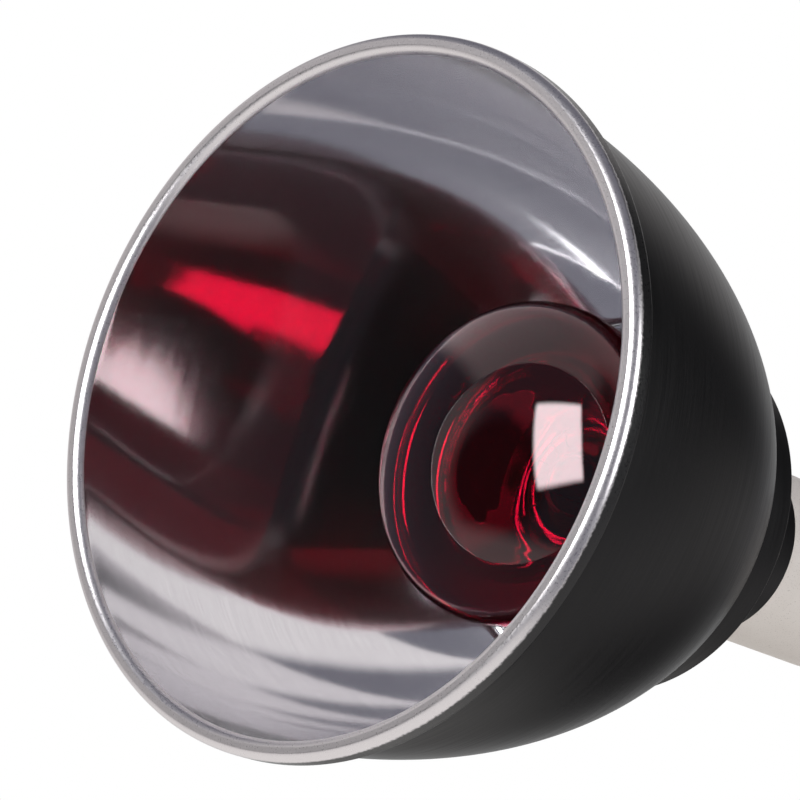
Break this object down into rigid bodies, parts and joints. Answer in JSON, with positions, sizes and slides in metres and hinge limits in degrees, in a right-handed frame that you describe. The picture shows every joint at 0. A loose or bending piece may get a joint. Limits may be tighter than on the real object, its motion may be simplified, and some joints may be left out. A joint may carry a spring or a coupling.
{
  "type": "dome lamp",
  "caption": "Spun aluminium dome lamp for a vivarium: rolled rim, stepped rear cap, ceramic socket housing, red reflector bulb that unscrews, and a swinging wire hanger.",
  "frame": {"origin": "centre of the plane on which the rolled rim rests", "axes": "+Z along the lamp's axis, from the mouth to the socket; X along the hanger's pivots"},
  "size_m": [0.203, 0.203, 0.2976],
  "materials": {
    "anodised_shell": "satin black anodised outside, polished spun aluminium inside and on the rolled rim",
    "black_coat": "satin black",
    "ceramic": "matt, warm off-white with fine specks",
    "porcelain": "white glazed",
    "zinc_steel": "zinc plated",
    "wire_steel": "nickel plated wire",
    "brass": "plain rolled brass",
    "bronze": "phosphor bronze strip",
    "black_nylon": "moulded, matt black",
    "red_glass": "deep red tinted glass",
    "mirror_coat": "vapour deposited aluminium",
    "cap_nickel": "nickel plated brass",
    "black_glass": "black cap glass",
    "solder": "dull solder over brass",
    "clear_glass": "clear lead glass",
    "tungsten": "drawn wire"
  },
  "bodies": {
    "fixture": {"dome_shell": "anodised_shell", "rim_wire": "zinc_steel", "rear_cap": "black_coat", "mounting_plate": "zinc_steel", "cap_spacers": "zinc_steel", "cap_screws": "zinc_steel", "socket_housing": "ceramic", "lampholder_body": "porcelain", "screw_shell": "brass", "centre_contact": "bronze", "contact_rivets": "brass", "live_terminal": "brass", "neutral_terminal": "brass", "terminal_screws": "zinc_steel", "holder_studs": "zinc_steel", "end_cap": "ceramic", "end_nuts": "zinc_steel", "cord_bush": "black_nylon", "cord_clamp": "black_nylon", "cord_clamp_screws": "zinc_steel"},
    "hanger": {"hanger_bail": "wire_steel"},
    "bulb_tip": {"cap_insulator": "black_glass", "cap_contact": "solder"},
    "bulb": {"bulb_glass": "red_glass", "bulb_mirror": "mirror_coat", "bulb_cap": "cap_nickel", "glass_stem": "clear_glass", "lead_wires": "tungsten", "filament_supports": "tungsten", "filament": "tungsten"}
  },
  "joints": [
    {"name": "hanger_swing", "type": "hinge", "parent": "fixture", "child": "hanger", "pos_m": [0, 0, 0.25012], "axis": [1, 0, 0], "range_deg": [-139, 139]},
    {"name": "bulb_travel", "type": "slide", "parent": "fixture", "child": "bulb_tip", "axis": [0, 0, -1], "range_m": [0, 0.01816]},
    {"name": "bulb_turn", "type": "hinge", "parent": "bulb_tip", "child": "bulb", "pos_m": [0, 0, 0.19362], "axis": [0, 0, -1], "range_deg": [0, 1800]}
  ],
  "couplings": [
    {"joint": "bulb_travel", "follows": "bulb_turn", "m_per_rad": 0.00057773}
  ]
}
